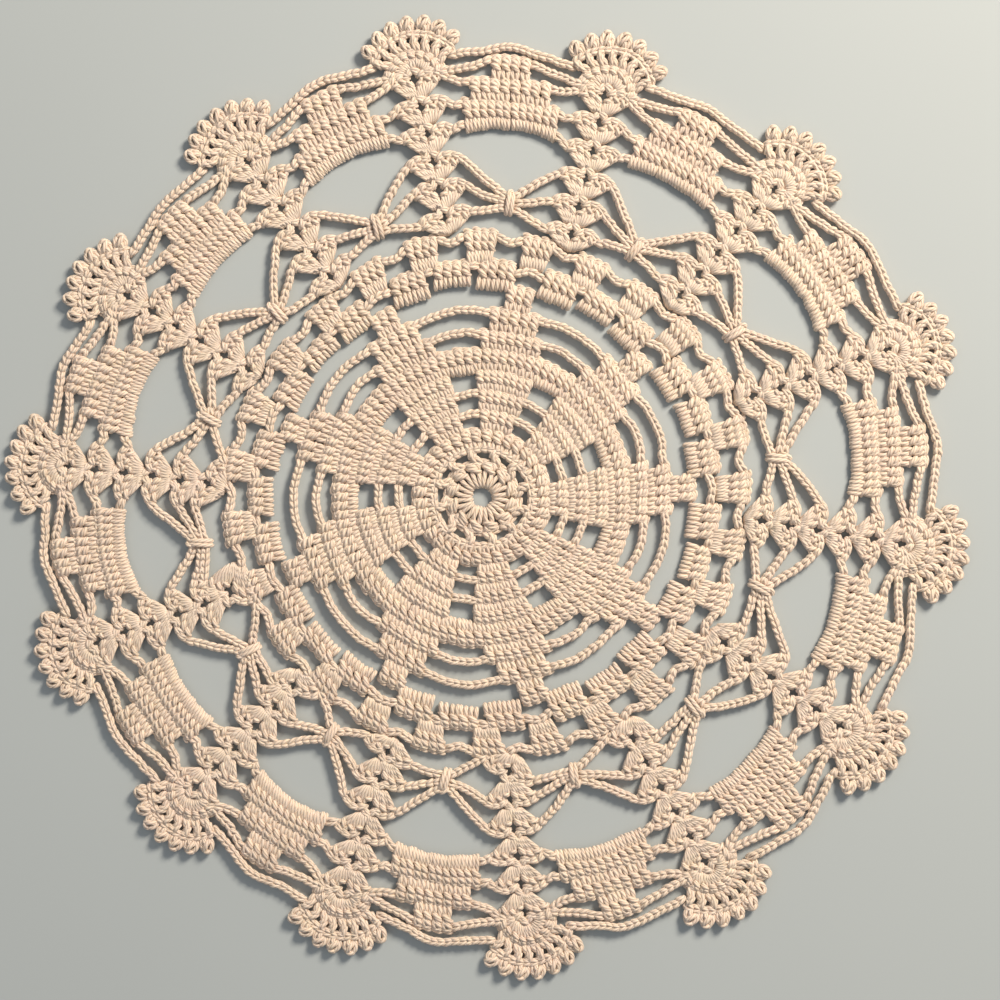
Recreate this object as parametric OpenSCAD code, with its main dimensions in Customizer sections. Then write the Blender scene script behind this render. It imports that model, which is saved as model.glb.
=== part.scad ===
// Round lace doily, crocheted in one length of cotton yarn and laid flat.
// It lies on the XY plane with its right side up. Every angle runs clockwise
// from +Y, as the work is turned, and every round is a part of its own.
// Blocks of double crochet are flat solids, and chains are straight rods.

/* [Overall] */
// Width across the finished doily
doily_w = 300; // [270:5:330]
// Thickness where most yarn is gathered: the centre, the ties and the fans
fabric_t = 3; // [2.8:0.1:3.4]
// Thickness of the other blocks of stitches, which lie between those
block_t = 2.8; // [2.4:0.1:3.2]
// Width of a crocheted chain
chain_w = 2.6; // [2.2:0.1:2.8]
// Clearance that keeps neighbouring stitches apart
slack = 0.15; // [0.1:0.05:0.2]

/* [Centre star] */
// Petals of the centre star
petals = 9; // [9:1:9]
// Direction of the first petal
petal_start = 11; // [0:1:39]
// Double crochets in the first round
centre_stitches = 12; // [10:1:14]
// Double crochets in the second round, with a chain between each two
mesh_stitches = 12; // [9:1:14]

/* [Outer rounds] */
// Shell columns, and with them the scallops of the edge
columns = 14; // [14:1:14]
// Direction of the first shell column
column_start = 18.2; // [0:0.1:25]
// Blocks in each of the two rounds outside the star
band_blocks = 27; // [27:1:27]
// Shells on top of each other in a column
shells = 6; // [6:1:6]
// Picots round one scallop
picots = 7; // [5:1:8]

/* [Lay of the work] */
// How far off centre the star lies in X
star_dx = -1.6; // [-4:0.1:4]
// How far off centre the star lies in Y
star_dy = 0.3; // [-4:0.1:4]
// How far the outer rounds lie from the centre in X
rim_dx = 1.2; // [-2:0.1:2]
// How far the outer rounds lie from the centre in Y
rim_dy = 0.6; // [-2:0.1:2]
// How far the scalloped edge is drawn down and to the right
edge_pull = 1; // [0:0.1:2]
// How strongly the outer rounds wave in and out
waviness = 1; // [0:0.1:1.5]

/* [Hidden] */
unit = doily_w / 300;
mid = fabric_t / 2;
round_fn = 12;
// Outer radius of rounds 1 to 10
star_r = [11.4, 15.4, 21.1, 27.1, 33.3, 39.3, 46, 51.5, 58.2, 65.3];
hole_r = 2.7;
petal_pitch = 360 / petals;
// Half angle of a petal in rounds 4 to 10, as its groups of stitches narrow
petal_half = [13, 13.4, 14, 20, 11.7, 8.5, 4];
// Radii of the two band rounds, then of the rows of chain and shell outside them
band_r = [64.8, 72.4, 81];
band_pitch = 360 / band_blocks;
shell_r = 86.4;
shell_pitch = 8.8;
first_shell = 7.4;
shell_reach = 8.6;
column_pitch = 360 / columns;
// The column that stands one space nearer to the one before it
doubled_column = 10;
// Radii of the three rows of an arch, and its half angles
arch_r = [113.8, 121.3, 128.1, 135.3];
arch_half = [7, 5.65, 2.8];
edge_r = 138.9;
mesh_pitch = 360 / mesh_stitches;
mesh_rim = 1.2;
mesh_slant = 9;
// Waves of the outer rounds: how many, their height, and where the first crest is
waves = [[3, 0.7, 27], [4, 0.9, -14], [5, 1.1, -10]];
tie_r = [87.1, 89.8, 92.5];
tie_w = 2.6;
tie_lip = 1.3;
fan_r = 9;
mesh_r = 15.6;
picot_r = 20.2;
picot_d = 4.2;
picot_spread = 50;

// ---- Where things lie ----

function mix(from, to, t) = from + (to - from) * t;
function ease(t) = let (c = min(1, max(0, t))) c * c * (3 - 2 * c);
function on_circle(r, a) = r * [sin(a), cos(a)];

// From 0 in the star to 1 in the outer rounds
function reach(r) = ease((r - 55) / 35);

// A point of the laid work: the outer rounds are centred, and the star is drawn aside
function laid(r, a) =
    let (centre = mix([star_dx, star_dy], [rim_dx, rim_dy], reach(r)),
         ripple = [for (w = waves) w[1] * cos(w[0] * (a - w[2]))] * [for (w = waves) 1])
    unit * (centre + on_circle(r + waviness * reach(r) * ripple, a));

// The edge is drawn a little to one side of the rounds that it grows from
function drawn(p) = p + unit * edge_pull * ease((norm(p) / unit - 128) / 16) * [0.8, -0.6];

// The star's petals lean as they grow; the columns spread towards one side
function star_lean(r, a) = a + ease((r - 25) / 40) * (2.6 * cos(a + 18) - 2.9);
function column_lean(r, a) = a + 3 * cos(a - 160) + (130 - r) * 0.03 * cos(2 * (a - 13));
function in_star(r, a) = laid(r, star_lean(r, a));
function in_rim(r, a) = drawn(laid(r, column_lean(r, a)));

function petal_angle(k) = petal_start + k * petal_pitch;
function block_angle(k) = 12 + k * band_pitch;
function column_angle(k) = column_start + k * column_pitch;
function arch_angle(k) = column_angle(k + 0.5);

// A shell column stands on the space after this block of round 12
function space_angle(k) = block_angle(2 * k + 0.5 - (k >= doubled_column ? 1 : 0));

// Hole at the top of shell row j of column k; row -1 is the space that it starts from
function column_hole(k, j) = j < 0
    ? in_star(shell_r - first_shell, space_angle(k))
    : in_rim(shell_r + j * shell_pitch, column_angle(k));

// A point placed across and out from a base point, along the line to a head point
function beside(base, head, across, out) =
    let (v = (head - base) / norm(head - base))
    base + unit * (across * [v.y, -v.x] + out * v);

// Top outer corner of one half of a shell; side is -1 or 1
function shell_corner(k, j, side) =
    let (base = column_hole(k, j - 1), head = column_hole(k, j))
    beside(base, head, side * (shell_reach + 0.2), norm(head - base) / unit - 1.6);

// A point of the scallop on column k, t degrees round from straight out
function on_fan(k, r, t) =
    let (base = column_hole(k, shells - 1),
         out = in_rim(shell_r + shells * shell_pitch, column_angle(k)))
    drawn(beside(base, out, r * sin(t), r * cos(t)));

// ---- Stitch solids ----

// A flat piece of fabric with the given outline, midway up
module slab(points, thick = block_t)
    translate([0, 0, mid - thick / 2]) linear_extrude(thick) polygon(points);

// One straight run of yarn or chain, drawn in by a gap at each end
module rod(p, q, width, gap_p = slack, gap_q = slack)
    translate([p.x, p.y, mid])
        rotate([0, 90, atan2(q.y - p.y, q.x - p.x)])
            translate([0, 0, gap_p])
                cylinder(h = norm(q - p) - gap_p - gap_q, d = width, $fn = round_fn);

// How far a run is drawn in at a bend, so that it clears the next one
function bend_gap(before, at, after) =
    let (v = at - before, w = after - at)
    slack + chain_w / 2 * tan(acos(min(1, v * w / norm(v) / norm(w))) / 2);

module chain(points) {
    last = len(points) - 1;
    gaps = [for (i = [0 : last])
        i == 0 || i == last ? slack : bend_gap(points[i - 1], points[i], points[i + 1])];
    for (i = [1 : last]) rod(points[i - 1], points[i], chain_w, gaps[i - 1], gaps[i]);
}

// A block of stitches of the star or its bands between two radii and two angles
module star_block(r0, r1, a0, a1, top = 0, steps = 4, thick = block_t)
    slab(concat(
        [for (i = [0 : steps]) in_star(r0 + slack, mix(a0, a1, i / steps))],
        [for (i = [steps : -1 : 0]) in_star(r1 - slack, mix(a0 - top, a1 + top, i / steps))]),
        thick);

// A row of the star from round 4 on, one block on each petal
module petal_row(number)
    for (k = [0 : petals - 1])
        star_block(star_r[number - 2], star_r[number - 1],
                   petal_angle(k) - petal_half[number - 4],
                   petal_angle(k) + petal_half[number - 4], 0, 6);

// The chain of a row across the gap between two petals, in straight runs
module star_chain(number, runs = 1, lift = 0) {
    half = petal_half[number - 4];
    r = star_r[number - 1] - 1.2;
    for (k = [0 : petals - 1]) {
        a0 = petal_angle(k) + half;
        a1 = petal_angle(k + 1) - half;
        chain([for (i = [0 : runs])
            in_star(r + (i % runs == 0 ? 0 : lift), mix(a0, a1, i / runs))]);
    }
}

// A shell: three stitches on each side, spread from the space below, with a dip between
module shell(k, j) {
    base = column_hole(k, j - 1);
    head = column_hole(k, j);
    rise = norm(head - base) / unit;
    side = [[0.25, 1.6], [5, 3.4], [shell_reach, rise - 2.4], [shell_reach, rise - 0.4],
            [4.6, rise + 1.5], [1.5, rise - 0.5], [0.25, rise - 2.4]];
    last = len(side) - 1;
    slab(concat([for (c = side) beside(base, head, c.x, c.y)],
                [for (i = [last : -1 : 0]) beside(base, head, -side[i].x, side[i].y)]));
}

module shell_row(j)
    for (k = [0 : columns - 1]) shell(k, j);

// The loops of a shell row that a tie gathers between two columns
module tie_chain(j)
    for (k = [0 : columns - 1], side = [0, 1]) {
        corner = shell_corner(k + side, j, 1 - 2 * side);
        edge = in_rim(tie_r[j], arch_angle(k) + (2 * side - 1) * tie_w / 2 / tie_r[j] * 180 / PI);
        rod(corner, edge, chain_w);
    }

// A row of an arch, one block between each two columns
module arch_row(i)
    for (k = [0 : columns - 1]) {
        a = arch_angle(k);
        h = arch_half[i];
        sag = i == 0 ? 1.4 : 0;
        slab(concat(
            [for (t = [-1 : 0.5 : 1]) in_rim(arch_r[i] + slack - sag * t * t, a + h * t)],
            [for (t = [1 : -0.5 : -1]) in_rim(arch_r[i + 1] - slack, a + h * t)]));
    }

// The chains that tie a row of an arch to the shells beside it
module arch_chain(j, r, half)
    for (k = [0 : columns - 1], side = [0, 1])
        rod(shell_corner(k + side, j, 1 - 2 * side),
            in_rim(r, arch_angle(k) + (2 * side - 1) * half), chain_w);

// ---- Rounds ----

module centre_round() color("bisque")
    for (k = [0 : centre_stitches - 1])
        star_block(hole_r, star_r[0], (k + 0.04) * 360 / centre_stitches,
                   (k + 0.96) * 360 / centre_stitches, 0, 2, fabric_t);

module mesh_round() color("antiquewhite")
    for (k = [0 : mesh_stitches - 1]) {
        a = (k + 0.8) * mesh_pitch;
        r0 = star_r[0] + slack;
        r1 = star_r[1] - mesh_rim - slack;
        half = mesh_pitch / 4 + 1;
        slab([in_star(r0, a - half), in_star(r1, a - half - mesh_slant),
              in_star(r1, a + half - mesh_slant), in_star(r0, a + half)]);
    }

module mesh_chain() color("bisque")
    for (k = [0 : mesh_stitches - 1])
        star_block(star_r[1] - mesh_rim, star_r[1],
                   (k + 0.01) * mesh_pitch, (k + 0.99) * mesh_pitch, 0, 2);

module inner_round() color("antiquewhite")
    for (k = [0 : 11]) star_block(star_r[1], star_r[2], (k + 0.01) * 30, (k + 0.99) * 30);

module petal_round_4() color("bisque") petal_row(4);
module petal_round_5() color("antiquewhite") petal_row(5);
module petal_round_6() color("bisque") petal_row(6);

module joined_round() color("antiquewhite")
    for (k = [0 : 2 * petals - 1])
        star_block(star_r[5], star_r[6], petal_angle((k - 0.49) / 2), petal_angle((k + 0.49) / 2));

module petal_round_8() color("bisque") petal_row(8);
module petal_round_9() color("antiquewhite") petal_row(9);
module petal_tips() color("bisque") petal_row(10);

module window_chains() color("wheat") {
    star_chain(4);
    star_chain(5);
}

module star_chains_8() color("wheat") star_chain(8, 2, 1.4);
module star_chains_9() color("wheat") star_chain(9, 2, 1.7);

module band_round_11() color("antiquewhite")
    for (k = [0 : band_blocks - 1]) {
        place = k % 3 - 1;
        a = block_angle(k + 0.5) - 1.8 * place;
        star_block(band_r[0] + (place == 0 ? 1.2 : 0), band_r[1], a - 5.1, a + 5.1);
    }

module band_chains_11() color("wheat")
    for (k = [0 : band_blocks - 1])
        chain(k % 3 == 0
            ? [for (i = [-1 : 1])
                in_star(band_r[1] - 1.4 - abs(i) * 1.4, block_angle(k) + i * 2.9)]
            : [for (i = [-1 : 2 : 1])
                in_star(band_r[1] - 1.4, block_angle(k) + (k % 3 == 1 ? 0.9 : -0.9) + i * 0.6)]);

module band_round_12() color("bisque")
    for (k = [0 : band_blocks - 1])
        star_block(band_r[1], band_r[2], block_angle(k) - 3.1, block_angle(k) + 3.1, 0.9);

module band_chains_12() color("wheat")
    for (k = [0 : band_blocks - 1])
        rod(in_star(band_r[2] - 2, block_angle(k) + 4.1),
            in_star(band_r[2] - 2, block_angle(k + 1) - 4.1), chain_w);

module shell_round_13() color("antiquewhite") shell_row(0);
module shell_round_14() color("bisque") shell_row(1);
module shell_round_15() color("antiquewhite") shell_row(2);
module shell_round_16() color("bisque") shell_row(3);
module shell_round_17() color("antiquewhite") shell_row(4);
module shell_round_18() color("bisque") shell_row(5);

module tie_chains_13() color("wheat") tie_chain(0);
module tie_chains_14() color("wheat") tie_chain(1);
module tie_chains_15() color("wheat") tie_chain(2);

module ties() color("bisque")
    for (k = [0 : columns - 1]) {
        low = in_rim(tie_r[0] - tie_lip, arch_angle(k));
        high = in_rim(tie_r[2] + tie_lip, arch_angle(k));
        half = tie_w / 2 - slack;
        slab([for (c = [[-half, 0], [half, 0], [half, 1], [-half, 1]])
            beside(low, high, c.x, c.y * norm(high - low) / unit)], fabric_t);
    }

module arch_chains_16() color("wheat") arch_chain(3, arch_r[0], arch_half[0]);
module arch_round_17() color("antiquewhite") arch_row(0);
module arch_chains_17() color("wheat") arch_chain(4, arch_r[1] - 0.6, arch_half[0]);
module arch_round_18() color("bisque") arch_row(1);
module arch_chains_18() color("wheat") arch_chain(5, arch_r[2] - 0.7, arch_half[1]);
module arch_round_19() color("antiquewhite") arch_row(2);

module arch_chains_19() color("wheat")
    for (k = [0 : columns - 1], side = [0, 1]) {
        foot = on_fan(k + side, 8.2, (1 - 2 * side) * 86);
        edge = in_rim(arch_r[3] - 1.2, arch_angle(k) + (2 * side - 1) * arch_half[2]);
        rod(foot, edge, chain_w);
    }

module fan_round_19() color("bisque")
    for (k = [0 : columns - 1])
        slab(concat(
            [for (t = [-84 : 28 : 84]) on_fan(k, fan_r - slack, t)],
            [for (t = [84 : -42 : -84]) on_fan(k, 1.8, t)]), fabric_t);

module fan_mesh_20() color("antiquewhite")
    for (k = [0 : columns - 1], i = [0 : picots]) {
        t = mix(-picot_spread - 8, picot_spread + 8, i / picots);
        rod(on_fan(k, fan_r, t), on_fan(k, mesh_r - chain_w, t), 2);
    }

module fan_chain_20() color("bisque")
    for (k = [0 : columns - 1])
        chain([for (t = [-1 : 0.5 : 1])
            on_fan(k, mesh_r - chain_w / 2, t * (picot_spread + 8))]);

module edge_chains_20() color("wheat")
    for (k = [0 : columns - 1]) {
        top = in_rim(edge_r, arch_angle(k));
        feet = [for (side = [0, 1]) on_fan(k + side, 12.8, (1 - 2 * side) * 68)];
        chain([feet[0], top, feet[1]]);
    }

module picots() color("wheat")
    for (k = [0 : columns - 1], i = [0 : picots - 1]) {
        p = on_fan(k, picot_r - picot_d / 2, mix(-picot_spread, picot_spread, i / (picots - 1)));
        translate([p.x, p.y, mid - chain_w / 2]) cylinder(h = chain_w, d = picot_d, $fn = round_fn);
    }

centre_round();
mesh_round();
mesh_chain();
inner_round();
petal_round_4();
petal_round_5();
petal_round_6();
joined_round();
petal_round_8();
petal_round_9();
petal_tips();
window_chains();
star_chains_8();
star_chains_9();
band_round_11();
band_chains_11();
band_round_12();
band_chains_12();
shell_round_13();
shell_round_14();
shell_round_15();
shell_round_16();
shell_round_17();
shell_round_18();
tie_chains_13();
tie_chains_14();
tie_chains_15();
ties();
arch_chains_16();
arch_round_17();
arch_chains_17();
arch_round_18();
arch_chains_18();
arch_round_19();
arch_chains_19();
fan_round_19();
fan_mesh_20();
fan_chain_20();
edge_chains_20();
picots();
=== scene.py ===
"""Round lace doily, crocheted in one length of ecru cotton yarn and laid flat.

Every stitch is worked from its own loops of yarn: a stitch is a patch with a foot edge and a
head edge, and a pattern of strands is bent to fit the patch. Lengths in the lists of stitches
are millimetres in the frame of the solids, and angles run clockwise from +Y, in degrees.
"""

import math
import random

import bpy
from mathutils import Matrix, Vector


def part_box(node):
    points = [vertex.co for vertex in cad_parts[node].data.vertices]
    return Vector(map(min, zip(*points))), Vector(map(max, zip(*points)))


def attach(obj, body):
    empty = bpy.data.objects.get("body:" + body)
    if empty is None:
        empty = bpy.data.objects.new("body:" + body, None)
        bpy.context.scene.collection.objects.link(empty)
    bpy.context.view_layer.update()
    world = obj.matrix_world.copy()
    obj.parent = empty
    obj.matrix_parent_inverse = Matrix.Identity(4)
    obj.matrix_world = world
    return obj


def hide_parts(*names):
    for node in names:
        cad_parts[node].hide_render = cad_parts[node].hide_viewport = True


bl_info = {
    "name": "Crocheted lace doily",
    "version": (1, 0, 0),
    "blender": (4, 5, 0),
    "location": "3D View > Sidebar > Doily",
    "description": "Works a round lace doily, stitch by stitch, over its packed solids",
    "category": "Add Mesh",
}

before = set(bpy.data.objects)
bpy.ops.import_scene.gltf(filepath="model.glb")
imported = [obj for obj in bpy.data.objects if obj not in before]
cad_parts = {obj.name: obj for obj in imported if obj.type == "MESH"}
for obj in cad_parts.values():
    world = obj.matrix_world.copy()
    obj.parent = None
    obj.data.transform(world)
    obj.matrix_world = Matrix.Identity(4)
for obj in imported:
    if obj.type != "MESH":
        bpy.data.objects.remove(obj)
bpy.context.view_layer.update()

MM = 0.001
YARN_NAME = "Ecru cotton"

# ---- The rounds, as the solids have them: radii and lengths in mm, angles in degrees ----

CHAIN_W = 2.7
FINE_CHAIN_W = 2.1
CHAIN_PITCH = 2.2
CENTRE_STITCHES = 12
STAR_R = (11.4, 15.4, 21.1, 27.1, 33.3, 39.3, 46, 51.5, 58.2, 65.3)
HOLE_R = 2.7
PETALS = 9
PETAL_START = 11
# Half the width of a petal in each round, and its stitches
PETAL_HALF = {4: 13, 5: 13.4, 6: 14, 8: 11.7, 9: 8.5, 10: 4}
PETAL_STITCHES = {4: 4, 5: 6, 6: 8, 8: 7, 9: 5, 10: 3}
JOINED_STITCHES = {"petal": 8, "window": 3}
BAND_R = (64.8, 72.4, 81)
BLOCKS = 27
BLOCK_START = 12
BLOCK_STITCHES = 4
COLUMNS = 14
COLUMN_START = 18.2
# From this column on, a column starts one space of the band earlier
DOUBLED_COLUMN = 10
SHELL_R = 86.4
SHELL_PITCH = 8.8
FIRST_SHELL = 7.4
SHELL_REACH = 8.6
SHELLS = 6
# Lines along a shell's top: the heads of one half's stitches, that half's braid, and the bridge
# over the hole. A place is across from the middle of the shell and out from its top.
SHELL_HEADS = ((0.5, -2.2), (1.9, -0.7), (3.4, 0.3), (5.3, 0.5), (7.0, -0.3), (8.5, -1.8))
SHELL_BRAID = ((1.9, 0.2), (3.4, 0.9), (5.2, 1.1), (7.0, 0.3), (8.5, -1.0))
SHELL_BRIDGE = ((-2.0, 0.7), (0, 2.3), (2.0, 0.7))
ARCH_R = (113.8, 121.3, 128.1, 135.3)
ARCH_HALF = (7, 5.65, 2.8)
ARCH_STITCHES = (12, 8, 4)
EDGE_R = 138.9
TIE_R = (87.1, 89.8, 92.5)
TIE_W = 2.6
FAN_STITCHES = 9
FAN_FOOT_R = 3.1
FAN_R = 9
FAN_HALF = 88
MESH_R = 15.6
PICOT_R = 20.2
PICOTS = 7
PICOT_SPREAD = 50
PICOT_HALF = 6.6
STAR_CENTRE = Vector((-1.6, 0.3))
RIM_CENTRE = Vector((1.2, 0.6))
EDGE_PULL = Vector((0.8, -0.6))
# Waves of the outer rounds: how many there are, their height, and the angle of a crest
WAVES = ((3, 0.7, 27), (4, 0.9, -14), (5, 1.1, -10))

# ---- The hand of the worker, the floor and the lights ----

UNEVEN = 0.13
CHAIN_BOW = 0.5
TIE_LEAN = 0.3
BROAD_STRAY_SCALE = 0.28
BROAD_STRAY_REACH = 2.6
LIFT_SCALE = 0.06
UPRIGHT_STRAY = 0.35
FLOOR_REACH = 4.0
VIEW_MIDDLE = (0.0040, -0.00063)
KEY_LIGHT = {"place": (0.62, 0.70, 0.75), "size": 0.35, "colour": (1.0, 0.89, 0.75)}
FILL_LIGHT = {"place": (-0.7, -0.3, 0.9), "size": 1.2, "colour": (0.94, 0.97, 1.0)}
SKY_COLOUR = (0.95, 0.97, 1.0, 1.0)


def mix(a, b, t):
    return a + (b - a) * t


def ease(t):
    c = min(1, max(0, t))
    return c * c * (3 - 2 * c)


def cosd(angle):
    return math.cos(math.radians(angle))


def on_circle(r, angle):
    turn = math.radians(angle)
    return Vector((r * math.sin(turn), r * math.cos(turn)))


def laid(r, angle):
    """A point of the laid work: the star lies a little aside of the outer rounds."""
    reach = ease((r - 55) / 35)
    ripple = sum(height * cosd(count * (angle - crest)) for count, height, crest in WAVES)
    return STAR_CENTRE.lerp(RIM_CENTRE, reach) + on_circle(r + reach * ripple, angle)


def drawn(point):
    """A point of the rim, where the whole edge is drawn a little to one side."""
    return point + ease((point.length - 128) / 16) * EDGE_PULL


def in_star(r, angle):
    """A point of the star or its band: the petals lean a little as they go out."""
    return laid(r, angle + ease((r - 25) / 40) * (2.6 * cosd(angle + 18) - 2.9))


def in_rim(r, angle):
    """A point of the outer rounds: the columns lean, and more on one side than the other."""
    lean = 3 * cosd(angle - 160) + (130 - r) * 0.03 * cosd(2 * (angle - 13))
    return drawn(laid(r, angle + lean))


def petal_angle(k):
    return PETAL_START + k * 360 / PETALS


def block_angle(k):
    return BLOCK_START + k * 360 / BLOCKS


def column_angle(k):
    return COLUMN_START + k * 360 / COLUMNS


def arch_angle(k):
    return column_angle(k + 0.5)


def column_hole(k, row):
    """The hole at the top of a shell, or the space that the first shell starts from."""
    if row < 0:
        space = block_angle(2 * k + 0.5 - (1 if k >= DOUBLED_COLUMN else 0))
        return in_star(SHELL_R - FIRST_SHELL, space)
    return in_rim(SHELL_R + row * SHELL_PITCH, column_angle(k))


def beside(base, head, across, out):
    """A point placed across and out from a base point, along the line to a head point."""
    v = (head - base).normalized()
    return base + across * Vector((v.y, -v.x)) + out * v


def shell_point(k, row, across, out, from_top=False):
    """A point of a shell, measured from the hole below it or from the hole in its top."""
    base, head = column_hole(k % COLUMNS, row - 1), column_hole(k % COLUMNS, row)
    rise = (head - base).length if from_top else 0
    return beside(base, head, across, rise + out)


def shell_line(k, row, places, side=1):
    """The points of a line along the top of a shell, from places across and out."""
    return [shell_point(k, row, side * u, out, from_top=True) for u, out in places]


def shell_corner(k, row, side):
    return shell_point(k, row, side * SHELL_REACH, -1.2, from_top=True)


def on_fan(k, r, t):
    """A point of the scallop on a column, t degrees round from straight out."""
    k = k % COLUMNS
    base = column_hole(k, SHELLS - 1)
    out = in_rim(SHELL_R + SHELLS * SHELL_PITCH, column_angle(k))
    turn = math.radians(t)
    return drawn(beside(base, out, r * math.sin(turn), r * math.cos(turn)))


# ---- Patterns of the strands of one stitch ----
# A point is (across in stitch widths, out in stitch heights, height in mm), and a strand is its
# radius in mm at its two ends, and its points.

TOP_LOOPS = [
    (0.7, 0.7, [(-0.56, 0.9, 0.9), (-0.28, 0.96, 1.55), (0, 0.985, 1.75), (0.28, 0.945, 1.6),
                (0.5, 0.89, 0.9)]),
    (0.64, 0.64, [(-0.54, 1.06, 0.8), (-0.26, 1.09, 1.1), (0, 1.08, 1.2), (0.28, 1.04, 1.1),
                  (0.5, 1.01, 0.8)]),
]
UPPER_WRAPS = [
    (0.84, 0.84, [(-0.42, 0.66, 0.9), (-0.33, 0.63, 1.8), (-0.12, 0.555, 2.5), (0.12, 0.47, 2.5),
                  (0.32, 0.4, 1.75), (0.42, 0.375, 0.8)]),
    (0.84, 0.84, [(-0.38, 0.89, 0.9), (-0.28, 0.855, 1.8), (-0.07, 0.775, 2.35), (0.12, 0.68, 1.95),
                  (0.24, 0.59, 1.2)]),
    (0.8, 0.8, [(0.2, 0.52, 1.0), (0.31, 0.63, 1.7), (0.3, 0.77, 2.1), (0.19, 0.9, 1.8),
                (0.04, 0.98, 1.3)]),
]
LONG_WRAPS = [
    (0.74, 0.74, [(-0.42, 0.79, 0.9), (-0.33, 0.77, 1.75), (-0.12, 0.72, 2.4), (0.12, 0.655, 2.4),
                  (0.33, 0.6, 1.75), (0.42, 0.58, 0.8)]),
    (0.74, 0.74, [(-0.34, 0.93, 0.9), (-0.26, 0.9, 1.75), (-0.07, 0.85, 2.15), (0.12, 0.78, 1.9),
                  (0.24, 0.73, 1.2)]),
    (0.72, 0.72, [(0.2, 0.68, 1.0), (0.3, 0.76, 1.6), (0.28, 0.85, 1.9), (0.17, 0.93, 1.7),
                  (0.02, 0.98, 1.3)]),
]
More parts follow.
